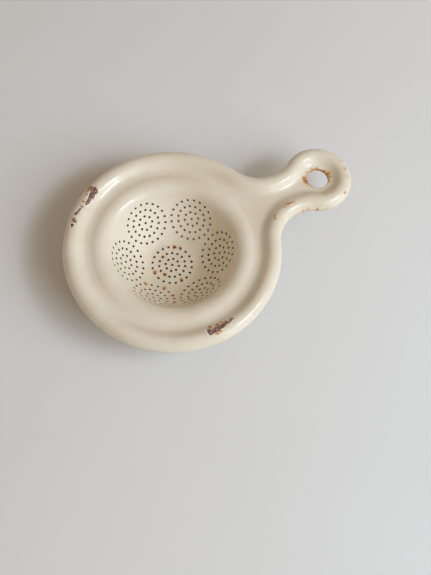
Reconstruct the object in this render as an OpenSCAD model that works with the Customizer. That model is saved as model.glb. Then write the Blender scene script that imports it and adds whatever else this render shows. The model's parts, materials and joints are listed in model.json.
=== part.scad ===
/* [Rim and lip] */
// Distance from the shoulder's crest out to the bottom of the groove
groove_w = 3.6; // [3:0.1:5]
// Width of the flat ring that is left at the bottom of the groove
groove_flat = 0.4; // [0.2:0.1:2]
// Radius of the roll that turns the edge outward and down, over the finished enamel
lip_roll_r = 3.3; // [2.6:0.1:4]
// Distance from the outside edge in to the flat floor of the groove
lip_w = 8.7; // [8:0.1:9.5]
// Height of the lip's crest above the floor of the groove
lip_h = 2.5; // [1.8:0.1:3]
// Steepness of the lip where it drops into the groove, in degrees
lip_slope = 38; // [34:1:44]
// Straight stretch of the turned-down edge
lip_drop = 0.8; // [0.2:0.1:2]

/* [Bowl] */
// Inside radius of the round bowl, over the finished enamel
bowl_r = 24.8; // [22:0.1:30]
// Height of the round bowl's centre above the floor of the groove
bowl_centre_h = 7.7; // [6.5:0.1:9]
// Distance from the bowl's inside radius out to the crest of the shoulder
mouth_w = 2.5; // [2:0.1:4]
// Height of the shoulder above the floor of the groove
shoulder_h = 0.5; // [0.3:0.1:1]
// Inside radius of the bowl's flat base, over the finished enamel
base_r = 9; // [8:0.1:11]

/* [Handle] */
// Distance from the rim's edge out to the middle of the handle's round end
handle_l = 22.622; // [18:0.001:32]
// Radius of the handle's round end
end_r = 13.162; // [12.5:0.001:16]
// Radius of the hollow on each side of the handle's neck
neck_r = 13.55; // [12:0.01:16]
// Radius of the hanging hole, over the finished enamel
hang_r = 4.1; // [2:0.1:4.3]

/* [Perforations] */
// Radius of a perforation, over the finished enamel
hole_r = 0.45; // [0.3:0.05:0.55]
// Number of rosettes round the middle one
petals = 6; // [4:1:6]
// Angle of a petal's middle from straight down, seen from the bowl's centre
petal_a = 45.6; // [44.5:0.1:47]
// Azimuth of the first petal, counted from the handle
petal_az = -21.5; // [-30:0.5:30]
// Radius of each ring of a petal, measured along the metal
petal_rings = [2.7, 5.25, 7.9];
// Radius of each ring of the middle rosette
middle_rings = [2.55, 5, 7.55];
// Number of holes in each ring, from the inside out
ring_holes = [8, 15, 20];
// Turn of each ring in a petal, in degrees
petal_turns = [-17, 0, -9.5];
// Turn of each ring in the middle rosette, in degrees
middle_turns = [7.8, -9.7, 0.9];
// How far off the bowl's axis the middle rosette was punched, along X and Y
middle_off = [-0.55, -0.4];

/* [Sheet and enamel] */
// Thickness of the steel sheet
steel_t = 0.6; // [0.5:0.05:0.8]
// Thickness of the dark ground coat on each face of the steel
ground_t = 0.15; // [0.1:0.01:0.2]
// Thickness of the cream cover coat over the ground coat
cream_t = 0.25; // [0.15:0.01:0.3]

/* [Hidden] */
$fn = 96;
// Half of the finished wall, and the half walls of the layers under it
half_wall = steel_t / 2 + ground_t + cream_t;
half_ground = steel_t / 2 + ground_t;
half_steel = steel_t / 2;
// Radii of the shoulder's crest, of the groove and of the rim's outside edge,
// and the distance from the bowl's axis to the middle of the handle's round end
shoulder_r = bowl_r + mouth_w;
groove_in_r = shoulder_r + groove_w;
rim_r = groove_in_r + groove_flat + lip_w;
handle_reach = rim_r + handle_l;
// Heights over the base, at the finished top face
floor_z = 2 * half_wall;
bowl_z = floor_z + sqrt(bowl_r * bowl_r - base_r * base_r);
groove_z = bowl_z - bowl_centre_h;
shoulder_z = groove_z + shoulder_h;
crest_z = groove_z + lip_h;
edge_z = crest_z - lip_roll_r - lip_drop;
// Radius of the roll from the shoulder into the bowl. It is a little over the
// one that would only touch the bowl, so that the two faces cross cleanly.
mouth_drop = bowl_z - shoulder_z;
mouth_reach = shoulder_r * shoulder_r + mouth_drop * mouth_drop - bowl_r * bowl_r;
mouth_r = 1.006 * mouth_reach / (2 * (bowl_r - mouth_drop));
mouth_a = asin(shoulder_r / (bowl_r + mouth_r));
mouth_foot = [shoulder_r - mouth_r * sin(mouth_a), shoulder_z - mouth_r + mouth_r * cos(mouth_a)];
// The two equal arcs from the shoulder down to the groove
swell_a = 2 * atan(shoulder_h / (groove_in_r - shoulder_r));
swell_r = (groove_in_r - shoulder_r) / (2 * sin(swell_a));
// Radius of the hollow at the foot of the lip
lip_run = lip_w - lip_roll_r;
lip_hollow_r = (lip_run * sin(lip_slope) - lip_h * cos(lip_slope)) / (1 - cos(lip_slope)) - lip_roll_r;
// The middle of the hollow beside the neck, which touches the rim and the round end
neck_reach = rim_r + neck_r;
neck_gap = end_r + neck_r;
neck_x = (neck_reach * neck_reach - neck_gap * neck_gap + handle_reach * handle_reach) / (2 * handle_reach);
neck_y = sqrt(neck_reach * neck_reach - neck_x * neck_x);
// Length of a drill that passes through the wall
drill_h = 4;

// A face profile is a list of points. Hollow arcs have their centre above the
// face and swells have it below; angles are the slope of the face. s is how far
// a face lies under the finished top face.
function hollow(c, r, a0, a1, n) = [for (i = [0:n]) let (a = a0 + (a1 - a0) * i / n) c + r * [sin(a), -cos(a)]];
function swell(c, r, a0, a1, n) = [for (i = [0:n]) let (a = a0 + (a1 - a0) * i / n) c + r * [-sin(a), cos(a)]];
function flange_face(s) = concat(
    [mouth_foot + 1.5 * [-cos(mouth_a), -sin(mouth_a)] - s * [-sin(mouth_a), cos(mouth_a)]],
    swell([shoulder_r, shoulder_z - mouth_r], mouth_r - s, mouth_a, 0, 6),
    swell([shoulder_r, shoulder_z - swell_r], swell_r - s, -swell_a / 3, -swell_a, 2),
    hollow([groove_in_r, groove_z + swell_r], swell_r + s, -2 * swell_a / 3, 0, 2)
);
// Runs outward from the groove at -lip_w to the outside edge at 0
function lip_face(s) = concat(
    hollow([-lip_w, groove_z + lip_hollow_r], lip_hollow_r + s, 0, lip_slope, 3),
    swell([-lip_roll_r, crest_z - lip_roll_r], lip_roll_r - s, lip_slope, -90, 8)
);
function edge_round(h) = [for (i = [0:4]) let (a = -180 * i / 4) [-half_wall, edge_z] + h * [cos(a), sin(a)]];
function reversed(list) = [for (i = [len(list) - 1:-1:0]) list[i]];
// Pieces that meet share their points exactly when these are whole microns
function micron(list) = [for (p = list) [for (x = p) round(x * 1000) / 1000]];

// Each module below makes a layer with half of its thickness, h
module lip_profile(h, inner) {
    top = lip_face(half_wall - h);
    under = lip_face(half_wall + h);
    ring = concat([[inner, top[0][1]]], top, edge_round(h), reversed(under), [[inner, under[0][1]]]);
    polygon(micron(ring));
}

module handle_outline() {
    polygon([[0, 0], [neck_x, neck_y], [handle_reach, 0], [neck_x, -neck_y]]);
}

module handle_block() {
    translate([0, 0, edge_z - drill_h])
        linear_extrude(2 * drill_h + lip_h)
            handle_outline();
}

module rim_lip(h) {
    difference() {
        rotate_extrude()
            translate([rim_r, 0])
                lip_profile(h, groove_in_r - rim_r);
        handle_block();
    }
}

module end_lip(h) {
    difference() {
        translate([handle_reach, 0, 0])
            rotate_extrude()
                translate([end_r, 0])
                    lip_profile(h, hang_r / 2 - end_r);
        handle_block();
    }
}

module neck_lip(h) {
    intersection() {
        translate([neck_x, neck_y, 0])
            rotate_extrude()
                translate([neck_r, 0])
                    mirror([1, 0])
                        lip_profile(h, -lip_w);
        handle_block();
    }
}

module handle_floor(h) {
    translate([0, 0, groove_z - half_wall - h])
        linear_extrude(2 * h)
            difference() {
                handle_outline();
                circle(groove_in_r);
                translate([neck_x, neck_y])
                    circle(neck_r + lip_w);
                translate([neck_x, -neck_y])
                    circle(neck_r + lip_w);
            }
}

// A ball cut flat below base height z and above the foot of the mouth
module cut_ball(r, z) {
    intersection() {
        translate([0, 0, bowl_z])
            sphere(r);
        translate([0, 0, z])
            cylinder(r = 2 * bowl_r, h = mouth_foot[1] - 0.6 - z);
    }
}

module bowl_and_shoulder(h) {
    difference() {
        union() {
            cut_ball(bowl_r + half_wall + h, half_wall - h);
            rotate_extrude()
                polygon(micron(concat(flange_face(half_wall - h), reversed(flange_face(half_wall + h)))));
        }
        translate([0, 0, bowl_z])
            intersection() {
                sphere(bowl_r + half_wall - h);
                translate([0, 0, half_wall + h - bowl_z])
                    cylinder(r = 2 * bowl_r, h = bowl_r);
            }
    }
}

module petal_hole(tilt, turn, r) {
    rotate([0, 0, turn])
        rotate([0, -tilt, 0])
            translate([0, 0, -bowl_r - half_wall])
                cylinder(r = r, h = drill_h, center = true, $fn = 24);
}

module petal(r) {
    petal_hole(0, 0, r);
    for (k = [0:len(ring_holes) - 1])
        for (i = [1:ring_holes[k]])
            petal_hole(petal_rings[k] / bowl_r * 180 / PI, petal_turns[k] + 360 * i / ring_holes[k], r);
}

module middle_hole(out, turn, r) {
    rotate([0, 0, turn])
        translate([out, 0, 0])
            cylinder(r = r, h = drill_h, center = true, $fn = 24);
}

module middle_rosette(r) {
    middle_hole(0, 0, r);
    for (k = [0:len(ring_holes) - 1])
        for (i = [1:ring_holes[k]])
            middle_hole(middle_rings[k], middle_turns[k] + 360 * i / ring_holes[k], r);
}

module perforations(r) {
    translate([0, 0, bowl_z])
        for (p = [0:petals - 1])
            rotate([0, 0, petal_az + 360 * p / petals])
                rotate([0, -petal_a, 0])
                    petal(r);
    translate([middle_off[0], middle_off[1], half_wall])
        middle_rosette(r);
}

module hanging_hole(r) {
    translate([handle_reach, 0, edge_z])
        cylinder(r = r, h = lip_h + lip_roll_r);
}

module plain_sheet(h) {
    bowl_and_shoulder(h);
    rim_lip(h);
    end_lip(h);
    handle_floor(h);
    neck_lip(h);
    mirror([0, 1, 0])
        neck_lip(h);
}

// The hanging hole is lined: each layer over the steel makes it smaller
module blank(h) {
    difference() {
        plain_sheet(h);
        hanging_hole(hang_r + half_wall - h);
    }
}

module steel_pressing() {
    color("SlateGray")
        difference() {
            blank(half_steel);
            perforations(hole_r);
        }
}

module ground_coat() {
    color("DarkSlateGray")
        difference() {
            blank(half_ground);
            blank(half_steel);
            perforations(hole_r);
        }
}

module cream_coat() {
    color("AntiqueWhite")
        difference() {
            blank(half_wall);
            blank(half_ground);
            perforations(hole_r);
        }
}

steel_pressing();
ground_coat();
cream_coat();
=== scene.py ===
# %% [markdown]
# # An enamelled tea strainer
# A strainer like this starts as one disc of thin steel. A press draws the bowl,
# rolls the broad rim and forms the short handle in one piece, a punch makes
# seven rosettes of small holes, and the sheet is then dipped twice: once in a
# dark ground coat and once in cream enamel. Nothing on it moves.
#
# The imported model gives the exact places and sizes. This lesson builds the
# outside that the eye sees: soft enamel round each hole, chips, rust and gloss.

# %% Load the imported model
import json
import math

import bpy
import numpy as np
from mathutils import Matrix, Vector, noise
from mathutils.geometry import delaunay_2d_cdt


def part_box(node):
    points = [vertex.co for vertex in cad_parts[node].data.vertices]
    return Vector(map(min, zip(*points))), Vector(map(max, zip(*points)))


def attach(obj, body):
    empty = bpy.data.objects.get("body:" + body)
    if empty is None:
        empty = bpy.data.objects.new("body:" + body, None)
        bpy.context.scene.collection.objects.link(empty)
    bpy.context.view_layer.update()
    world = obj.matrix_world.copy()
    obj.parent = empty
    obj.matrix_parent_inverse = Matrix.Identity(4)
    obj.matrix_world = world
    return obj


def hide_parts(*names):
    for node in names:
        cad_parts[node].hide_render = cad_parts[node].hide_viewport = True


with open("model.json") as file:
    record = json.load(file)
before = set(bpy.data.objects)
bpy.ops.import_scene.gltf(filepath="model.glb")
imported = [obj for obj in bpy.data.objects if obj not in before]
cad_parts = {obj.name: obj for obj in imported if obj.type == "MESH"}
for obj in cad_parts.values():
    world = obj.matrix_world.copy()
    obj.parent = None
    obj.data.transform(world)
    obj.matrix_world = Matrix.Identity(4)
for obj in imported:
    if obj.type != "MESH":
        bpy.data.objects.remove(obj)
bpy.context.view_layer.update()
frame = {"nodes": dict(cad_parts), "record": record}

MM = 0.001
coat_low, coat_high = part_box("cream_coat")
mounts = {mount["name"]: mount for mount in frame["record"]["mounts"]}
print("mounts", sorted(mounts))

# %% [markdown]
# ## The sizes of the pressing
# Everything below is worked out in millimetres and turned into metres at the
# end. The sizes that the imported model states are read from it: the rim's radius
# is its lowest X, and the hanging hole's place is a mount. The others repeat the
# curves of the pressing, which are plain arcs, as a toolmaker would cut them.

# %% Sizes
groove_flat = 0.4
shoulder_h = 0.5
rim_r = -coat_low[0] / MM
hang_x = mounts["hanging_hole"]["pos_m"][0] / MM
hang_r = mounts["hanging_hole"]["dims"]["r_mm"]
end_r = coat_high[0] / MM - hang_x
wall = mounts["hanging_hole"]["dims"]["length_mm"]
neck_r = 13.55
lip_w = 8.7
lip_h = 2.5
lip_slope = math.radians(38)
lip_roll_r = 3.3
lip_drop = 0.8
bowl_r = 24.8
base_r = 9.0
shoulder_r = 27.3
groove_in_r = rim_r - lip_w - groove_flat
crest_z = coat_high[2] / MM
groove_z = crest_z - lip_h
shoulder_z = groove_z + shoulder_h
bowl_z = wall + math.sqrt(bowl_r**2 - base_r**2)
print(f"rim {rim_r:.2f}, handle end {end_r:.2f} at {hang_x:.2f}, crest {crest_z:.2f}, wall {wall:.2f} mm")

# %% [markdown]
# ## A face as a chain of arcs
# A pressed sheet has no corners: its profile is a chain of arcs that run into
# one another. A chain is started at a point, and each link says whether it is
# hollow (+1), a swell (-1) or straight (0), its size, and the slope it ends at.
# Walking a distance along the chain gives a point, and going down by a depth
# square to the face gives the matching point of the underside, so the wall stays
# even.

# %% Chains of arcs
def chain(x, z, links):
    """Each link keeps where it starts, its turn, its point or centre, its radius and slope."""
    made, start, slope = [], 0.0, 0.0
    for turn, size, end in links:
        if turn == 0:
            made.append((start, 0, x, z, size, slope))
            x += size * math.cos(slope)
            z += size * math.sin(slope)
            start += size
            continue
        cx = x - turn * size * math.sin(slope)
        cz = z + turn * size * math.cos(slope)
        made.append((start, turn, cx, cz, size, slope))
        start += size * abs(end - slope)
        x = cx + turn * size * math.sin(end)
        z = cz - turn * size * math.cos(end)
        slope = end
    return made, start


def walk(links, s, depth):
    """Points a distance s along a chain, a depth under it, and the slope there."""
    s = np.asarray(s, dtype=float)
    x, z, slope = np.zeros_like(s), np.zeros_like(s), np.zeros_like(s)
    for start, turn, cx, cz, size, first in links:
        here = s >= start - 1e-9
        if turn == 0:
            a = np.full_like(s, first)
            px = cx + (s - start) * math.cos(first) + depth * math.sin(first)
            pz = cz + (s - start) * math.sin(first) - depth * math.cos(first)
        else:
            a = first + turn * (s - start) / size
            reach = size + turn * depth
            px, pz = cx + turn * reach * np.sin(a), cz - turn * reach * np.cos(a)
        x, z, slope = np.where(here, px, x), np.where(here, pz, z), np.where(here, a, slope)
    return x, z, slope


# %% [markdown]
# ## The bowl's face and the lip's face
# The bowl runs from its flat base through a soft fillet into the round, over
# the mouth's roll to the shoulder, and down into the groove. The lip starts in
# the groove, rises at a steady slope, and rolls over its crest to the edge.
# The roll at the mouth is the arc that touches both the bowl and the shoulder.

# %% The two chains
base_fillet = 6.0
fillet_drop = bowl_z - wall - base_fillet
flat_r = math.sqrt((bowl_r - base_fillet) ** 2 - fillet_drop**2)
fillet_end = math.atan2(flat_r, fillet_drop)
mouth_drop = bowl_z - shoulder_z
mouth_r = (shoulder_r**2 + mouth_drop**2 - bowl_r**2) / (2 * (bowl_r - mouth_drop))
mouth_slope = math.asin(shoulder_r / (bowl_r + mouth_r))
swell_slope = 2 * math.atan(shoulder_h / (groove_in_r - shoulder_r))
swell_r = (groove_in_r - shoulder_r) / (2 * math.sin(swell_slope))
bowl_face, bowl_length = chain(0, wall, [
    (0, flat_r, 0.0),
    (1, base_fillet, fillet_end),
    (1, bowl_r, mouth_slope),
    (-1, mouth_r, 0.0),
    (-1, swell_r, -swell_slope),
    (1, swell_r, 0.0),
])
lip_run = lip_w - lip_roll_r
arcs_r = (lip_run * math.sin(lip_slope) - lip_h * math.cos(lip_slope)) / (1 - math.cos(lip_slope))
hollow_r = arcs_r - lip_roll_r
straight = (lip_run - (hollow_r + lip_roll_r) * math.sin(lip_slope)) / math.cos(lip_slope)
lip_face, lip_length = chain(-lip_w, groove_z, [
    (1, hollow_r, lip_slope),
    (0, straight, lip_slope),
    (-1, lip_roll_r, -math.pi / 2),
])
print("bowl face ends at", [round(float(v), 3) for v in walk(bowl_face, bowl_length, 0.0)])
print("lip face ends at", [round(float(v), 3) for v in walk(lip_face, lip_length, 0.0)])

# %% [markdown]
# ## Where the holes are
# Each rosette is one hole with rings of 8, 15 and 20 round it. Six of them, the
# petals, lean outward round the bowl, and the seventh sits in the middle, a
# little off the axis, as a hand-set punch leaves it. A hole is kept as a place
# on the unrolled bowl: a distance walked from the middle, in a direction.

# %% Hole places
petal_tilt = 45.6
petal_first = -21.5
ring_holes = (8, 15, 20)
petal_rings = ((2.7, -17.0), (5.25, 0.0), (7.9, -9.5))
middle_rings = ((2.55, 7.8), (5.0, -9.7), (7.55, 0.9))
middle_off = Vector((-0.55, -0.4))
walked = np.linspace(0, bowl_length, 4000)
walked_r = walk(bowl_face, walked, 0.0)[0]


def unrolled(x, y):
    """The place on the unrolled bowl of the point that lies over x, y."""
    r = math.hypot(x, y)
    s = float(np.interp(r, walked_r, walked))
    return Vector((x, y)) * (s / r)


def petal_places(first):
    down = Vector((0, 0, -bowl_r))
    lean = Matrix.Rotation(math.radians(first), 3, "Z") @ Matrix.Rotation(math.radians(-petal_tilt), 3, "Y")
    yield lean @ down
    for (radius, turn), count in zip(petal_rings, ring_holes):
        tilt = Matrix.Rotation(-radius / bowl_r, 3, "Y")
        for i in range(1, count + 1):
            yield lean @ Matrix.Rotation(math.radians(turn + 360 * i / count), 3, "Z") @ tilt @ down


def middle_places():
    yield middle_off
    for (radius, turn), count in zip(middle_rings, ring_holes):
        for i in range(1, count + 1):
            a = math.radians(turn + 360 * i / count)
            yield middle_off + radius * Vector((math.cos(a), math.sin(a)))


holes = [unrolled(p.x, p.y) for n in range(6) for p in petal_places(petal_first + 60 * n)]
holes += [unrolled(p.x, p.y) for p in middle_places()]
print(len(holes), "holes, the farthest", round(max(p.length for p in holes), 2), "mm from the middle")

# %% [markdown]
# ## A place to gather the patches
# The sheet is made as patches whose edges share the same points. They are put
# in one list and welded at the end, which gives one closed skin. A patch of the
# face is added as it is, and its twin on the underside is added turned over.

# %% Patches
points, faces = [], []


def add(patch_points, patch_faces, turned=False):
    start = sum(len(p) for p in points)
    points.append(np.asarray(patch_points, dtype=float).reshape(-1, 3))
    for f in patch_faces:
        f = [start + int(i) for i in f]
        faces.append(f[::-1] if turned else f)


def add_grid(grid, closed, turned=False):
    """A grid of points in rows: neighbours in a row and across rows join up."""
    rows, cols = grid.shape[:2]
    quads = []
    for i in range(rows - 1):
        for j in range(cols if closed else cols - 1):
            k = (j + 1) % cols
            quads.append((i * cols + j, i * cols + k, (i + 1) * cols + k, (i + 1) * cols + j))
    add(grid, quads, turned)


def on_bowl(places, depth):
    """Unrolled places to points in space."""
    places = np.asarray(places, dtype=float)
    s = np.hypot(places[:, 0], places[:, 1])
    x, z, _ = walk(bowl_face, s, depth)
    away = places / np.maximum(s, 1e-9)[:, None]
    return np.column_stack((away * x[:, None], z))


def triangles(places, loops, keep):
    """Joins places into triangles that keep to the loops; keep says which of them stay."""
    edges = []
    for loop in loops:
        edges += list(zip(loop, loop[1:] + loop[:1]))
    result = delaunay_2d_cdt([Vector(p) for p in places], edges, [], 0, 1e-7)
    out, found, origin = result[0], result[2], [o[0] for o in result[3]]
    kept = []
    for f in found:
        f = [origin[i] for i in f]
        a, b, c = (places[i] for i in f)
        turn = (b[0] - a[0]) * (c[1] - a[1]) - (b[1] - a[1]) * (c[0] - a[0])
        if keep(f):
            kept.append(f if turn > 0 else f[::-1])
    assert len(out) == len(places)
    return kept


# %% [markdown]
# ## The perforated bowl
# The bowl is drawn on its unrolled disc: a loop of points round every hole, an
# even scatter between them, and a round border. Triangles fill what is left.
# Wrapped back on the bowl, the same triangles serve the face and the underside.

# %% The bowl
join_s = 30.0
border_n = 240
loop_n = 16
loop_r = 0.84
loop_turns = np.arange(loop_n) * 2 * np.pi / loop_n


def hole_frame(place):
    """Middle of a hole on the face, and the directions out, round and up."""
    s, slope = place.length, float(walk(bowl_face, place.length, 0.0)[2])
    out = np.array(place) / s
    middle = on_bowl([place], 0.0)[0]
    along = np.array((out[0] * math.cos(slope), out[1] * math.cos(slope), math.sin(slope)))
    across = np.array((-out[1], out[0], 0.0))
    return middle, along, across, np.cross(along, across), out


def hole_loop(place):
    """The loop round a hole, on the unrolled disc."""
    _, _, _, _, out = hole_frame(place)
    stretch = place.length / float(walk(bowl_face, place.length, 0.0)[0])
    side = np.array((-out[1], out[0])) * stretch
    return [
        np.array(place) + loop_r * (math.cos(a) * out + math.sin(a) * side)
        for a in loop_turns
    ]


border = [
    np.array((math.cos(a), math.sin(a))) * join_s
    for a in np.arange(border_n) * 2 * np.pi / border_n
]
places = list(border)
loops = [list(range(border_n))]
owner = [-1] * border_n
for number, place in enumerate(holes):
    loops.append(list(range(len(places), len(places) + loop_n)))
    places += hole_loop(place)
    owner += [number] * loop_n
scatter = 0.85
row_ratio = 0.866
border_gap = 0.5
loop_gap = 0.35
rows, cols = 45, 40
hole_array = np.array([tuple(p) for p in holes])
for row in range(-rows, rows + 1):
    for col in range(-cols, cols + 1):
        spot = np.array(((col + 0.5 * (row % 2)) * scatter, row * scatter * row_ratio))
        inside = np.hypot(*spot) < join_s - border_gap
        if inside and np.min(np.hypot(*(hole_array - spot).T)) > loop_r + loop_gap:
            places.append(spot)
            owner.append(-1)
kept = triangles(places, loops, lambda f: owner[f[0]] < 0 or len({owner[i] for i in f}) > 1)
add(on_bowl(places, 0.0), kept)
add(on_bowl(places, wall), kept, turned=True)
print(len(places), "points and", len(kept), "triangles on each side of the bowl")

# %% [markdown]
# ## The rim of each hole
# Enamel draws back from a sharp edge and then beads round it, so every hole has
# a small raised rim that rounds over into a smooth bore. The rings of points
# below run from the loop on the face, over the bead, and down to the underside.

# %% Hole rims
rim_rings = (
    (0.70, 0.03), (0.58, 0.045), (0.50, 0.015), (0.445, -0.06),
    (0.425, -0.2), (0.425, -1.2), (0.50, -1.38),
)
for place in holes:
    middle, along, across, up, _ = hole_frame(place)
    grid = [on_bowl(hole_loop(place), 0.0)]
    for radius, height in rim_rings:
        grid.append([
            middle + radius * (math.cos(a) * along + math.sin(a) * across) + height * up
            for a in loop_turns
        ])
    grid.append(on_bowl(hole_loop(place), wall))
    add_grid(np.array(grid), closed=True, turned=True)
print(len(holes) * loop_n * (len(rim_rings) + 1) * 2, "triangles in the hole rims")

# %% [markdown]
# ## The shoulder
# From the bowl's border to the groove the sheet is plain and round, so a grid
# of rings is enough.

# %% Shoulder rings
turns = np.arange(border_n) * 2 * np.pi / border_n
steps = np.linspace(join_s, bowl_length, 17)
for depth in (0.0, wall):
    x, z, _ = walk(bowl_face, steps, depth)
    grid = np.array([[(r * math.cos(a), r * math.sin(a), h) for a in turns] for r, h in zip(x, z)])
    if depth == 0.0:
        grid[0] = on_bowl(border, 0.0)
    add_grid(grid, closed=True, turned=depth == 0.0)
print("shoulder reaches", round(float(walk(bowl_face, bowl_length, 0.0)[0]), 2), "mm")

# %% [markdown]
# ## The outline
# The outline is the round rim, a hollow on each side of the neck, and the round
# end of the handle. The four arcs touch, so the lip can follow them without a
# corner. Each sample holds a point of the outline and the direction inward.
# Samples lie closer together where the lip is chipped.

# %% Outline samples
neck_reach, neck_gap = rim_r + neck_r, end_r + neck_r
neck_x = (neck_reach**2 - neck_gap**2 + hang_x**2) / (2 * hang_x)
neck_y = math.sqrt(neck_reach**2 - neck_x**2)
rim_a = math.atan2(neck_y, neck_x)
end_a = math.atan2(neck_y, neck_x - hang_x)
chipped = ((108, 147), (255, 284))


def arc_samples(cx, cy, radius, a0, a1, inward, step=0.8, fine=()):
    """Samples from angle a0 up to, but not with, a1."""
    found, a = [], a0
    way = 1 if a1 > a0 else -1
    while (a1 - a) * way > 1e-9:
        found.append(a)
        close = any(lo < math.degrees(a) < hi for lo, hi in fine)
        a += way * (step / 4 if close else step) / radius
    stretch = (a1 - a0) / (a - a0)
    angles = [a0 + (b - a0) * stretch for b in found]
    return [
        (cx + radius * math.cos(b), cy + radius * math.sin(b), inward * math.cos(b), inward * math.sin(b))
        for b in angles
    ]


outline = arc_samples(0, 0, rim_r, rim_a, 2 * math.pi - rim_a, -1, fine=chipped)
outline += arc_samples(neck_x, -neck_y, neck_r, math.pi - rim_a, math.pi - end_a, 1)
outline += arc_samples(hang_x, 0, end_r, -end_a, end_a, -1)
outline += arc_samples(neck_x, neck_y, neck_r, end_a - math.pi, rim_a - math.pi, 1)
outline = np.array(outline)
print(len(outline), "samples round the outline")

# %% [markdown]
# ## Chips
# Enamel is glass, so a knock on the crest of the lip flakes it off and bares
# the dark coat below. Each chip is drawn as a few strokes in plan, from one
# bearing and radius to the next, with a half width, and noise frays its edge.
# Where a chip is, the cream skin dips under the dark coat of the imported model.

# %% Chips
chips = (
    ((-97.4, 35.4), (-96.8, 36.2), 0.50),
    ((-96.8, 35.9), (-92.4, 35.7), 0.92),
    ((-92.4, 35.6), (-88.7, 35.4), 0.74),
    ((-88.7, 35.4), (-86.2, 35.2), 0.45),
    ((-86.2, 35.2), (-83.2, 35.4), 0.34),
    ((115.4, 37.0), (116.2, 36.0), 1.10),
    ((116.7, 36.2), (119.7, 35.7), 0.95),
    ((119.7, 35.7), (123.0, 35.6), 0.62),
    ((123.0, 35.6), (125.6, 35.6), 0.30),
    ((128.3, 36.5), (130.4, 36.8), 0.30),
    ((130.4, 36.8), (133.8, 37.5), 0.42),
    ((136.8, 37.4), (137.8, 37.5), 0.36),
    ((138.4, 36.5), (138.6, 37.0), 0.30),
    ((140.6, 37.3), (141.6, 37.4), 0.34),
)
chip_depth = 0.36
chip_slope = 0.16
coarse_fray = (0.34, 0.8, 3.1)
fine_fray = (0.34, 0.36, 5.7)


def bearing(place):
    a = math.radians(place[0])
    return np.array((place[1] * math.cos(a), place[1] * math.sin(a)))


def stroke_distance(plan, start, end):
    """Distance in plan from points to a straight stroke."""
    along = end - start
    t = np.clip((plan - start) @ along / (along @ along), 0, 1)
    return np.hypot(*(plan - start - t[:, None] * along).T)


def chip_edge(plan):
    """Distance from the edge of the nearest chip: below zero inside it."""
    return np.min([stroke_distance(plan, bearing(a), bearing(b)) - w for a, b, w in chips], axis=0)


def fray(plan, size, seed):
    """Smooth noise over the plan, from about -1 to 1, with bumps of a size in mm."""
    return np.array([noise.noise(Vector((x / size, y / size, seed))) for x, y in plan])


print(len(chips), "strokes, the widest", 2 * max(w for _, _, w in chips), "mm across")

# %% [markdown]
# ## The lip
# The lip is one strip swept round the outline: up out of the groove, over the
# crest, down the turned edge, round its bottom and back up the inside. The
# crest has closer points, because that is where the enamel has chipped.

# %% The lip
lip_foot = 0.15
lip_start = hollow_r * math.asin(lip_foot / hollow_r)
roll_s = hollow_r * lip_slope + straight
fine_margin, fine_turn = 0.3, math.radians(52)
fine_from, fine_to = roll_s - fine_margin, roll_s + lip_roll_r * fine_turn
face_steps = np.concatenate((
    np.linspace(lip_start, fine_from, 8)[:-1],
    np.linspace(fine_from, fine_to, 14)[:-1],
    np.linspace(fine_to, lip_length, 12),
))
under_steps = np.linspace(lip_length, lip_start, 12)
edge_turns = np.linspace(0, -math.pi, 7)[1:-1]
edge_z = crest_z - lip_roll_r - lip_drop
top_x, top_z, _ = walk(lip_face, face_steps, 0.0)
low_x, low_z, _ = walk(lip_face, under_steps, wall)
strip_x = np.concatenate((top_x, [0.0], -wall / 2 + wall / 2 * np.cos(edge_turns), [-wall], low_x))
strip_z = np.concatenate((top_z, [edge_z], edge_z + wall / 2 * np.sin(edge_turns), [edge_z], low_z))
grid = np.zeros((len(strip_x), len(outline), 3))
grid[:, :, 0] = outline[:, 0] - np.outer(strip_x, outline[:, 2])
grid[:, :, 1] = outline[:, 1] - np.outer(strip_x, outline[:, 3])
grid[:, :, 2] = strip_z[:, None]
slope = walk(lip_face, face_steps, 0.0)[2]
dipped = 0
for row, lean in enumerate(slope[1:-1], start=1):
    plan = grid[row, :, :2]
    edge = chip_edge(plan)
    for reach, size, seed in (coarse_fray, fine_fray):
        edge = edge + reach * fray(plan, size, seed)
    dip = chip_depth * np.clip(0.5 - edge / chip_slope, 0, 1)
    dipped += int(np.sum(dip > 0))
    outward = -outline[:, 2:]
    grid[row, :, :2] += (dip * math.sin(lean))[:, None] * outward
    grid[row, :, 2] -= dip * math.cos(lean)
add_grid(grid, closed=True, turned=True)
inner_top, inner_low = grid[0], grid[-1]
print(dipped, "points lie in the chips")
print(grid.shape[0], "points across the lip; its lowest is", round(float(strip_z.min()), 2), "mm up")

# %% [markdown]
# ## The floor of the handle
# Between the groove's ring and the lip lies the flat floor of the handle, with
# the hanging hole in it. It is filled with triangles like the bowl, and the
# hole's edge is rounded by a few rings, because enamel can't hold a sharp one.

# %% Handle floor and hanging hole
def lip_distance(x, y):
    """Distance in from the outline, in the part of the plan that the point is in."""
    past_neck = x > neck_x
    edge_y = neck_y * (1 - (x - neck_x) / (hang_x - neck_x)) if past_neck else x * neck_y / neck_x
    if abs(y) < edge_y:
        return math.hypot(x - neck_x, abs(y) - neck_y) - neck_r
    if past_neck:
        return end_r - math.hypot(x - hang_x, y)
    return rim_r - math.hypot(x, y)


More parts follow.
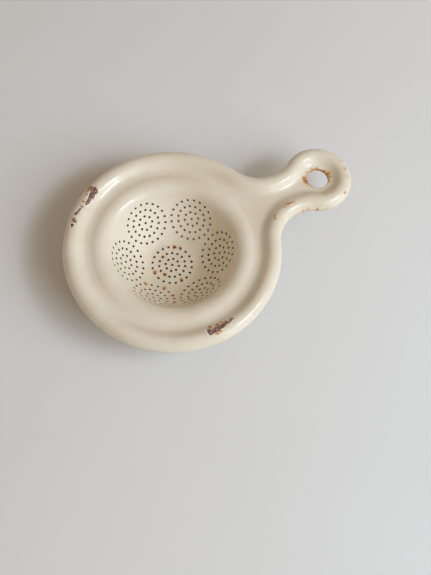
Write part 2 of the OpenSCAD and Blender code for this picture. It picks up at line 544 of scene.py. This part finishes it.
floor_in = lip_w - lip_foot
floor_half_y = 10.8
floor_step = 1.2
floor_gap = 0.4
ring_gap = 0.6
on_line = 0.003
hang_round = 0.36
hang_loop_r = hang_r + hang_round
hang_n = 64
hang_turns = np.arange(hang_n) * 2 * np.pi / hang_n
ring = [tuple(groove_in_r * np.array((math.cos(a), math.sin(a)))) for a in turns]
hang_loop = [(hang_x + hang_loop_r * math.cos(a), hang_loop_r * math.sin(a)) for a in hang_turns]
places = [tuple(p) for p in inner_top[:, :2]] + ring + hang_loop
n_lip, n_ring = len(inner_top), len(ring)
inner_loops = [
    list(range(n_lip)),
    list(range(n_lip, n_lip + n_ring)),
    list(range(n_lip + n_ring, len(places))),
]
for x in np.arange(groove_in_r, hang_x + end_r, floor_step):
    for y in np.arange(-floor_half_y, floor_half_y + 0.1, floor_step):
        clear = math.hypot(x, y) > groove_in_r + ring_gap
        off_hole = math.hypot(x - hang_x, y) > hang_loop_r + floor_gap
        if clear and off_hole and lip_distance(x, y) > floor_in + floor_gap:
            places.append((x, y))


def on_floor(f):
    """Keeps what lies outside the groove's ring and the hole, and inside the lip."""
    if all(n_lip <= i < n_lip + n_ring for i in f):
        return False
    if all(n_lip + n_ring <= i < n_lip + n_ring + hang_n for i in f):
        return False
    x, y = np.mean([places[i] for i in f], axis=0)
    return lip_distance(x, y) > floor_in - on_line


kept = triangles(places, inner_loops, on_floor)
plan = np.array(places)
top = np.column_stack((plan, np.full(len(plan), groove_z)))
low = np.column_stack((plan, np.full(len(plan), groove_z - wall)))
top[:n_lip], low[:n_lip] = inner_top, inner_low
add(top, kept)
add(low, kept, turned=True)
hang_rings = (
    (hang_round, 0), (0.22, -0.04), (0.09, -0.15), (0.0, -0.38),
    (0.0, -1.02), (0.09, -1.25), (0.22, -1.36), (hang_round, -1.4),
)
grid = np.array([
    [(hang_x + (hang_r + r) * math.cos(a), (hang_r + r) * math.sin(a), groove_z + z) for a in hang_turns]
    for r, z in hang_rings
])
add_grid(grid, closed=True, turned=True)
print(len(kept), "triangles on each side of the handle's floor")

# %% [markdown]
# ## Weld the patches
# Points that two patches share lie in the same place, so a weld with a tiny
# reach joins them and nothing else. A closed skin has two faces at every edge,
# and the count below shows whether it does.

# %% One closed skin
import bmesh

weld_reach = 0.004
mesh = bpy.data.meshes.new("cream_enamel")
mesh.from_pydata([tuple(p * MM) for p in np.concatenate(points)], [], faces)
skin = bmesh.new()
skin.from_mesh(mesh)
bmesh.ops.remove_doubles(skin, verts=skin.verts, dist=weld_reach * MM)
open_edges = sum(1 for e in skin.edges if len(e.link_faces) != 2)
bmesh.ops.recalc_face_normals(skin, faces=skin.faces)
volume = skin.calc_volume(signed=True) / MM**3
skin.to_mesh(mesh)
skin.free()
enamel = bpy.data.objects.new("cream_enamel", mesh)
bpy.context.scene.collection.objects.link(enamel)
triangle_count = sum(len(p.vertices) - 2 for p in mesh.polygons)
print(open_edges, "open edges,", triangle_count, "triangles,", round(volume, 1), "mm3")

# %% [markdown]
# ## Unevenness of the enamel
# Fired enamel is never quite even: it sags a little between thick and thin
# places, which is what makes its reflections wander. Each point is moved a few
# hundredths of a millimetre inward by smooth noise, so the skin never grows.

# %% Wander of the skin
sag_size = 7.0
sag_depth = 0.035
count = len(mesh.vertices)
place = np.empty(count * 3)
normal = np.empty(count * 3)
mesh.vertices.foreach_get("co", place)
mesh.vertices.foreach_get("normal", normal)
place, normal = place.reshape(-1, 3), normal.reshape(-1, 3)
wander = np.array([
    0.5 - 0.5 * noise.noise(Vector(p) * (1 / (sag_size * MM))) for p in place
])
place -= normal * (wander * sag_depth * MM)[:, None]
mesh.vertices.foreach_set("co", place.ravel())
mesh.update()
mesh.shade_smooth()
print("the skin moves in by up to", round(float(wander.max()) * sag_depth, 3), "mm")

# %% [markdown]
# ## Where the rust stains are
# Rust creeps out from under the enamel wherever water reaches the steel. A stain
# is built from soft round spots on the plan: each has its place along X and Y,
# how far it reaches in millimetres, and its strength. A row of small ones makes
# a streak. They could be painted by hand, but a list is easier to read and move.

# %% Stains
stains = {
    "along the near chip": (
        (-4.3, -34.2, 0.4, 0.95), (-3.1, -33.7, 0.8, 1.1), (-1.3, -33.9, 0.5, 1.05),
        (-0.5, -34.2, 0.7, 1.1), (0.9, -34.0, 0.5, 0.95), (1.4, -34.4, 0.6, 1.0),
        (2.9, -34.4, 0.4, 0.9), (4.2, -34.7, 0.7, 1.0), (4.9, -34.9, 0.6, 1.05),
        (-2.7, -37.2, 0.5, 0.95), (-1.9, -37.4, 0.6, 0.8), (-0.8, -37.0, 0.6, 0.9),
    ),
    "beside the far chips": (
        (-16.6, 34.9, 0.9, 1.15), (-17.6, 33.9, 0.8, 1.1), (-18.9, 32.6, 0.6, 1.0),
        (-20.6, 29.6, 0.7, 1.0), (-21.3, 30.2, 0.6, 0.95), (-27.4, 25.0, 0.6, 0.9),
        (-17.8, 33.6, 0.9, 0.75), (-25.9, 27.6, 0.7, 0.6), (-28.2, 25.3, 0.8, 0.55),
    ),
    "in the fold beside the neck": (
        (44.2, -4.7, 0.5, 0.8), (45.2, -4.8, 0.6, 0.95), (46.2, -5.1, 0.6, 1.0),
        (47.2, -5.3, 0.5, 0.95), (48.2, -5.6, 0.5, 0.9), (44.8, -6.1, 0.6, 0.85),
        (43.8, -5.9, 0.5, 0.8), (45.6, -5.7, 0.5, 0.9), (42.4, -5.4, 0.7, 0.6),
        (39.0, -7.0, 0.5, 0.75), (38.3, -8.2, 0.6, 0.9),
    ),
    "on the near edge of the handle": (
        (50.6, -9.6, 0.7, 0.9), (52.2, -9.9, 0.7, 0.85), (55.6, -11.2, 0.5, 0.9),
        (58.9, -12.5, 0.6, 0.6),
    ),
    "round the hanging hole": (
        (58.1, 2.4, 1.1, 1.0), (57.9, 0.8, 1.2, 1.15), (58.0, -0.8, 0.8, 0.95),
        (58.9, -2.2, 0.7, 0.8), (60.2, 4.3, 0.5, 0.8), (62.9, 4.7, 0.4, 0.9),
        (64.7, 4.2, 0.45, 0.9), (66.9, 1.6, 0.6, 1.0), (67.3, 0.0, 1.1, 0.95),
        (67.0, -1.4, 1.0, 0.85), (66.0, -2.9, 0.9, 0.75),
    ),
    "on the crest of the handle's end": (
        (73.2, -2.2, 1.0, 0.62), (72.2, -5.2, 1.0, 0.62), (68.0, -10.7, 0.9, 0.7),
        (74.3, 1.5, 0.9, 0.6),
    ),
    "between the hanging hole and the near edge": (
        (63.7, -8.8, 0.35, 0.8), (62.2, -8.6, 0.3, 0.75), (65.2, -8.4, 0.3, 0.75),
        (60.5, -8.9, 0.3, 0.7),
    ),
    "between the small holes": (
        (3.7, 5.8, 1.0, 1.0), (5.6, 4.4, 0.8, 0.9), (-2.1, 4.1, 0.8, 0.95),
        (-7.8, 0.1, 0.9, 0.95), (-4.9, -2.7, 0.9, 1.0), (-7.7, -2.3, 0.6, 0.7),
        (-0.2, -7.5, 0.9, 0.95), (-0.6, -0.4, 0.6, 0.8), (-13.5, -3.4, 0.8, 0.9),
        (-7.7, -7.7, 0.8, 0.95), (-6.7, -12.7, 0.8, 0.9), (-8.0, -16.6, 0.8, 0.9),
    ),
    "faint marks in the groove": (
        (31.6, -2.3, 0.4, 0.35), (33.5, -2.5, 0.4, 0.4), (36.0, -2.7, 0.4, 0.35),
    ),
}
for where, spots in stains.items():
    print(len(spots), "spots", where)

# %% [markdown]
# ## Rust as a number on the skin
# Each point of the skin gets a number from 0, clean, to 1 and over, rusted. The
# stains come first, then a halo round every chip and a ring in the hanging hole,
# and what lies under the bowl is a little fainter. The finish breaks the soft
# numbers up with fine noise, so the points needn't lie close together.

# %% Rust from the stains
chip_halo, chip_halo_reach = 0.72, 0.6
ring_rust, ring_rust_reach = 0.74, 0.42
under_bowl_z, under_bowl_fade = 12, 0.8
here = place / MM
plan = here[:, :2]
top_side = normal[:, 2] > -0.3
rust = np.zeros(count)
for spots in stains.values():
    for x, y, size, strength in spots:
        away = np.hypot(plan[:, 0] - x, plan[:, 1] - y) / size
        rust = np.maximum(rust, strength * np.exp(-away**2))
edge = chip_edge(plan)
rust = np.maximum(rust, chip_halo * np.exp(-np.maximum(edge, 0) / chip_halo_reach))
from_wall = np.abs(np.hypot(plan[:, 0] - hang_x, plan[:, 1]) - hang_r)
rust = np.maximum(rust, ring_rust * np.exp(-(from_wall / ring_rust_reach) ** 2))
rust[~top_side & (here[:, 2] < under_bowl_z)] *= under_bowl_fade
print("without the turned edge, rust covers", int(np.sum(rust > 0.5)), "points")

# %% [markdown]
# ## Rust on the turned edge
# Drips hang from the turned edge, and the cream is thinnest at the cut of the
# sheet. The rust lies in a narrow band at the bottom of the edge, strong in some
# places and nearly missing in others, with faint runs above it.

# %% Rust on the edge
outer_band = 1.6
band_drop, band_reach = 0.45, 0.42
band_least, band_most = 0.12, 0.92
runs_most = 0.27
patchy = 0.5 + 0.5 * fray(plan, 5.0, 9.3)
is_outer = np.array([lip_distance(x, y) < outer_band for x, y in plan])
band = np.exp(-(((here[:, 2] - edge_z + band_drop) / band_reach) ** 2)) * (normal[:, 2] < 0.35)
rust = np.maximum(rust, band * np.clip(2.6 * patchy - 0.75, band_least, band_most))
runs = np.clip((0.55 - normal[:, 2]) / 0.4, 0, 1) * top_side * (here[:, 2] > edge_z - 0.2)
rust = np.maximum(rust, runs * is_outer * np.clip(1.5 * patchy - 0.5, 0, runs_most))
print("with the turned edge, rust covers", int(np.sum(rust > 0.5)), "points")

# %% [markdown]
# ## Chips, bores and scouring
# Three more numbers go on the skin: how near a chip is, how deep in a small hole
# the point lies, which is where the painted shade of the bores goes, and how
# much the bowl has been scoured, which is full at its bottom and fades up its side.

# %% Other numbers on the skin
broken_reach = 1.2
bore_r, bore_fade = 0.55, 0.12
scour_gap, scour_fade = 1, 4
near_chip = np.clip(1 - edge / broken_reach, 0, 1) * top_side * (here[:, 2] > groove_z)
# How deep in a small hole a point lies: this places the near-black painted shade in the bores.
bore = np.zeros(count)
for spot in holes:
    middle, _, _, up, _ = hole_frame(spot)
    down = (middle - here) @ up
    aside = np.linalg.norm(here - middle + down[:, None] * up, axis=1)
    bore = np.maximum(bore, (aside < bore_r) * np.clip(down / bore_fade, 0, 1) * (down < wall + 0.1))
scoured = np.clip((bowl_r - scour_gap - np.hypot(plan[:, 0], plan[:, 1])) / scour_fade, 0, 1)
for name, values in (("rust", rust), ("near_chip", near_chip), ("bore", bore), ("scoured", scoured)):
    layer = mesh.attributes.new(name, "FLOAT", "POINT")
    layer.data.foreach_set("value", values.astype(np.float32))
    print(name, "reaches", round(float(values.max()), 2), "and covers", int(np.sum(values > 0.5)), "points")

# %% [markdown]
# ## A small kit for finishes
# A finish is a tree of nodes. These helpers make a node, join it, and blend two
# colours, so that each finish below reads like a recipe. A size is given in
# millimetres, and a rough noise has more fine grain in it.

# %% Node helpers
def new_finish(name):
    finish = bpy.data.materials.new(name)
    finish.use_nodes = True
    tree = finish.node_tree
    return finish, tree, tree.nodes["Principled BSDF"]


def put(socket, value):
    if isinstance(value, bpy.types.NodeSocket):
        socket.id_data.links.new(value, socket)
    else:
        socket.default_value = value


def node(tree, kind, inputs=None, **settings):
    made = tree.nodes.new(kind)
    for key, value in settings.items():
        setattr(made, key, value)
    for key, value in (inputs or {}).items():
        put(made.inputs[key], value)
    return made


def math_of(tree, operation, a, b=0.0, clamp=False):
    return node(tree, "ShaderNodeMath", {0: a, 1: b}, operation=operation, use_clamp=clamp).outputs[0]


def noise_of(tree, size, detail=4.0, rough=0.55):
    """Noise with bumps of about a size in millimetres, from 0 to 1."""
    spot = node(tree, "ShaderNodeTexCoord").outputs["Object"]
    return node(tree, "ShaderNodeTexNoise", {
        "Vector": spot, "Scale": 1 / (size * MM), "Detail": detail, "Roughness": rough,
    }).outputs["Fac"]


def ramp(tree, value, low, high):
    """Rises smoothly from 0 at low to 1 at high."""
    return node(tree, "ShaderNodeMapRange", {
        "Value": value, "From Min": low, "From Max": high,
    }, interpolation_type="SMOOTHSTEP").outputs["Result"]


def blend(tree, factor, a, b):
    made = tree.nodes.new("ShaderNodeMix")
    made.data_type = "RGBA"
    put(made.inputs["Factor"], factor)
    put(made.inputs["A"], a)
    put(made.inputs["B"], b)
    return made.outputs["Result"]


# %% [markdown]
# ## The body of the cream
# Cream enamel is an opaque glass over a body that is never one flat colour. It
# is cloudy at large, and speckled where specks of frit or soot were fired in.
# Deep in each small hole a near-black painted shade is laid on the cream, so
# the holes read dark.

# %% Cream body
# The second colour is a near-black painted shade for deep in the small holes.
soot, painted_hole_shade = (0.40, 0.30, 0.20, 1), (0.05, 0.03, 0.02, 1)
cream, tree, surface = new_finish("cream_enamel")
cloud = noise_of(tree, 14.0, 3.0)
body = blend(tree, ramp(tree, cloud, 0.35, 0.65), (0.78, 0.685, 0.53, 1), (0.83, 0.74, 0.59, 1))
speck = ramp(tree, noise_of(tree, 0.55, 2.0), 0.76, 0.80)
body = blend(tree, math_of(tree, "MULTIPLY", speck, 0.45), body, soot)


def skin_number(tree, name):
    """One of the numbers that were written on the skin's points."""
    return node(tree, "ShaderNodeAttribute", attribute_name=name).outputs["Fac"]


# Painted shade: deep in each small hole the cream is darkened nearly to black, so the holes read dark.
hole_shade = skin_number(tree, "bore")
body = blend(tree, math_of(tree, "MULTIPLY", hole_shade, 0.95), body, painted_hole_shade)
print("the cream's body takes", len(tree.nodes), "nodes")

# %% [markdown]
# ## Rust in the cream
# Fine noise is added to the soft rust number, which frays the edge of a stain.
# Where the sum is middling, the cream is only stained tan. Where it is high, a
# crust lies on it, orange over dark brown.

# %% Rust colours
tan_stain, dark_rust, orange_rust = (0.70, 0.38, 0.13, 1), (0.14, 0.045, 0.02, 1), (0.62, 0.24, 0.055, 1)


def frayed_noise(tree, size, rough, reach):
    """Fine noise from minus half the reach to plus half of it."""
    return math_of(tree, "MULTIPLY", math_of(tree, "SUBTRACT", noise_of(tree, size, 6.0, rough), 0.5), reach)


rusted = math_of(tree, "ADD", skin_number(tree, "rust"), frayed_noise(tree, 0.7, 0.7, 1.6))
tan = ramp(tree, rusted, 0.22, 0.58)
body = blend(tree, math_of(tree, "MULTIPLY", tan, 0.8), body, tan_stain)
crust = blend(tree, ramp(tree, noise_of(tree, 0.45, 3.0), 0.34, 0.56), dark_rust, orange_rust)
crusted = ramp(tree, rusted, 0.60, 0.74)
print("with the rust it takes", len(tree.nodes), "nodes")

# %% [markdown]
# ## Broken glass at the chips
# Close to a chip the cream is crushed, so it is white in flakes. At the very edge
# it is gone, and the dark coat is bared. The rust's crust lies over the white.

# %% Chipped cream
crushed_white = (0.95, 0.92, 0.86, 1)
dark_glass, brown_glass = (0.06, 0.028, 0.030, 1), (0.26, 0.13, 0.11, 1)
broken = math_of(tree, "ADD", skin_number(tree, "near_chip"), frayed_noise(tree, 0.6, 0.75, 3.2))
flaked = ramp(tree, noise_of(tree, 1.8, 2.0), 0.40, 0.54)
white = math_of(tree, "MULTIPLY", ramp(tree, broken, 0.50, 0.72), flaked)
bared = ramp(tree, broken, 0.98, 1.04)
body = blend(tree, white, body, crushed_white)
body = blend(tree, crusted, body, crust)
dark = blend(tree, ramp(tree, noise_of(tree, 0.5, 3.0), 0.35, 0.65), dark_glass, brown_glass)
body = blend(tree, bared, body, dark)
put(surface.inputs["Base Color"], body)
print("with the chips it takes", len(tree.nodes), "nodes")

# %% [markdown]
# ## Gloss and bumps
# The rim keeps a hard gloss. The bowl has been scoured for years, so it is
# duller, and rust and crushed glass are rough. The face ripples slightly, as
# glass does that has flowed, and it is gritty where it has rusted or broken.

# %% Gloss of the cream
least_rough, worn_rough, scoured_rough, broken_rough = 0.09, 0.12, 0.32, 0.45
dull = math_of(tree, "MULTIPLY", math_of(tree, "MAXIMUM", crusted, white), broken_rough)
wear = math_of(tree, "MULTIPLY", noise_of(tree, 5.0, 4.0), worn_rough)
scour = math_of(tree, "MULTIPLY", skin_number(tree, "scoured"), scoured_rough)
rough = math_of(tree, "ADD", math_of(tree, "ADD", wear, scour), least_rough)
put(surface.inputs["Roughness"], math_of(tree, "ADD", rough, dull, clamp=True))
ripple = math_of(tree, "MULTIPLY", noise_of(tree, 3.0, 2.0), 0.5)
crust_grit = math_of(tree, "MULTIPLY", crusted, 0.35)
glass_grit = math_of(tree, "MULTIPLY", white, 0.6)
loose = math_of(tree, "MAXIMUM", crust_grit, glass_grit)
grit = math_of(tree, "MULTIPLY", noise_of(tree, 0.35, 3.0), loose)
put(surface.inputs["Normal"], node(tree, "ShaderNodeBump", {
    "Height": math_of(tree, "ADD", ripple, grit), "Strength": 0.35, "Distance": 0.12 * MM,
}).outputs["Normal"])
surface.inputs["IOR"].default_value = 1.52
print("cream enamel has", len(tree.nodes), "nodes")

# %% [markdown]
# ## The dark ground coat
# The ground coat is a brown-purple glass that grips the steel. It shows only in
# the chips, where the break has left it uneven and rust has got through.

# %% Ground coat finish
ground, tree, surface = new_finish("ground_enamel")
spots = ramp(tree, noise_of(tree, 0.9, 4.0, 0.7), 0.56, 0.64)
mottle = ramp(tree, noise_of(tree, 0.8, 6.0, 0.8), 0.45, 0.55)
glass = blend(tree, mottle, (0.035, 0.016, 0.020, 1), (0.34, 0.17, 0.14, 1))
flake = ramp(tree, noise_of(tree, 0.55, 5.0, 0.7), 0.55, 0.58)
glass = blend(tree, math_of(tree, "MULTIPLY", flake, 0.8), glass, (0.78, 0.68, 0.58, 1))
put(surface.inputs["Base Color"], blend(tree, spots, glass, (0.42, 0.14, 0.04, 1)))
put(surface.inputs["Roughness"], math_of(tree, "ADD", math_of(tree, "MULTIPLY", spots, 0.4), 0.35))
put(surface.inputs["Normal"], node(tree, "ShaderNodeBump", {
    "Height": noise_of(tree, 0.4, 4.0), "Strength": 0.8, "Distance": 0.15 * MM,
}).outputs["Normal"])
print("ground coat has", len(tree.nodes), "nodes")

# %% [markdown]
# ## The steel
# The steel is sealed inside, so it is finished as plain sheet with a bloom of
# rust: grey and metallic where it is clean, brown and rough where it isn't.

# %% Steel finish
steel, tree, surface = new_finish("sheet_steel")
bloom = ramp(tree, noise_of(tree, 2.0, 5.0, 0.65), 0.42, 0.60)
put(surface.inputs["Base Color"], blend(tree, bloom, (0.34, 0.33, 0.32, 1), (0.28, 0.11, 0.04, 1)))
put(surface.inputs["Metallic"], math_of(tree, "SUBTRACT", 1.0, bloom))
put(surface.inputs["Roughness"], math_of(tree, "ADD", math_of(tree, "MULTIPLY", bloom, 0.4), 0.4))
put(surface.inputs["Normal"], node(tree, "ShaderNodeBump", {
    "Height": noise_of(tree, 0.3, 3.0), "Strength": 0.5, "Distance": 0.05 * MM,
}).outputs["Normal"])
print("steel has", len(tree.nodes), "nodes")

# %% [markdown]
# ## Finishes on their pieces
# The skin wears the cream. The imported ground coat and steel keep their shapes,
# and only their plain colours are changed for the finishes.

# %% Wear the finishes
def wear_finish(thing, finish):
    thing.data.materials.clear()
    thing.data.materials.append(finish)


wear_finish(enamel, cream)
for name, finish in (("ground_coat", ground), ("steel_pressing", steel)):
    for held in frame["nodes"][name].material_slots:
        held.material = finish
    print(name, "wears", finish.name)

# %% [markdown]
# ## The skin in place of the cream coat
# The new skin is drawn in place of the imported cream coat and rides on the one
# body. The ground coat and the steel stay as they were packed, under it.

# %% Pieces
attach(enamel, "root")
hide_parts("cream_coat")

# %% [markdown]
# ## The floor
# A plain pale floor takes the place of a studio table. It is dull and nearly
# even, so it sends soft light up under the rim and draws no eye to itself.

# %% Floor
floor_half = 1.5
corners = [(x * floor_half, y * floor_half, 0) for x, y in ((-1, -1), (1, -1), (1, 1), (-1, 1))]
floor_mesh = bpy.data.meshes.new("floor")
floor_mesh.from_pydata(corners, [], [(0, 1, 2, 3)])
floor = bpy.data.objects.new("floor", floor_mesh)
bpy.context.scene.collection.objects.link(floor)
pale, tree, surface = new_finish("pale_floor")
shade = blend(tree, noise_of(tree, 60.0, 3.0), (0.76, 0.75, 0.73, 1), (0.80, 0.79, 0.77, 1))
put(surface.inputs["Base Color"], shade)
surface.inputs["Roughness"].default_value = 0.85
surface.inputs["Specular IOR Level"].default_value = 0.15
wear_finish(floor, pale)
print("the floor is", 2 * floor_half, "m wide")

# %% [markdown]
# ## The sky
# The sky is dim, grey at the walls of the room and warm at its ceiling, so the
# near side of the bowl is lit mostly by light that has already bounced off the
# cream.

# %% Sky
grey_wall, warm_ceiling = (0.92, 0.90, 0.87, 1), (1.0, 0.80, 0.59, 1)
sky = bpy.data.worlds.new("studio")
sky.use_nodes = True
tree = sky.node_tree
toward_sky = node(tree, "ShaderNodeTexCoord").outputs["Generated"]
height = node(tree, "ShaderNodeSeparateXYZ", {"Vector": toward_sky}).outputs["Z"]
room = blend(tree, ramp(tree, height, 0.05, 0.45), grey_wall, warm_ceiling)
put(tree.nodes["Background"].inputs["Color"], room)
tree.nodes["Background"].inputs["Strength"].default_value = 0.36
bpy.context.scene.world = sky
print("the sky has", len(tree.nodes), "nodes")

# %% [markdown]
# ## The light
# One broad, low window at the front right lights the strainer, and a bright pane
# in it draws the thin glints. The lip's slope turns from hollow to swell, so it
# mirrors the pane twice, which gives the double line. More than half of the lamps'
# power goes to a diffuser that the gloss doesn't mirror, so the broad window shows
# only faintly in it.

# %% Light
daylight = (0.74, 0.86, 1.0)


def soft_light(name, azimuth, elevation, distance, wide, high, power, mirrored=True):
    """An area light aimed at the bowl from a bearing and a height, seen in the gloss or not."""
    lamp = bpy.data.lights.new(name, "AREA")
    lamp.shape, lamp.size, lamp.size_y, lamp.energy = "RECTANGLE", wide, high, power
    lamp.color = daylight
    made = bpy.data.objects.new(name, lamp)
    a, e = math.radians(azimuth), math.radians(elevation)
    toward = Vector((math.cos(a) * math.cos(e), math.sin(a) * math.cos(e), math.sin(e)))
    made.location = toward * distance
    made.rotation_mode = "QUATERNION"
    made.rotation_quaternion = toward.to_track_quat("Z", "Y")
    made.visible_glossy = mirrored
    bpy.context.scene.collection.objects.link(made)
    print(name, "stands", distance, "m away and gives", power, "W")


soft_light("window", -56, 36, 0.9, 0.70, 0.62, 2.2)
soft_light("diffuser", -56, 36, 0.88, 0.70, 0.62, 4.4, mirrored=False)
soft_light("bright pane", -48, 45, 0.86, 0.26, 0.10, 1.3)

# %% [markdown]
# ## The camera
# The camera looks down on the strainer from the front left and is turned a
# little, so the handle points up and to the right. It stands about 26 cm away,
# which gives the round rim its slight egg shape.

# %% Camera
lens = bpy.data.cameras.new("camera")
lens.sensor_width = 36.0
lens.lens = 45.08
lens.clip_start = 0.01
camera = bpy.data.objects.new("camera", lens)
look_azimuth, look_elevation, look_roll = map(math.radians, (-127.24, 68.16, -8.93))
aim = Vector((7.24, -19.57, 11.55)) * MM
away = 263.3 * MM
back = Vector((
    math.cos(look_azimuth) * math.cos(look_elevation),
    math.sin(look_azimuth) * math.cos(look_elevation),
    math.sin(look_elevation),
))
level = Vector((-math.sin(look_azimuth), math.cos(look_azimuth), 0))
rise = back.cross(level)
right = level * math.cos(look_roll) - rise * math.sin(look_roll)
up = back.cross(right)
turned = Matrix((right, up, back)).transposed().to_4x4()
camera.matrix_world = Matrix.Translation(aim + back * away) @ turned
bpy.context.scene.collection.objects.link(camera)
bpy.context.scene.camera = camera
bpy.context.scene.view_settings.view_transform = "Standard"
print("camera at", [round(v, 4) for v in camera.matrix_world.translation])
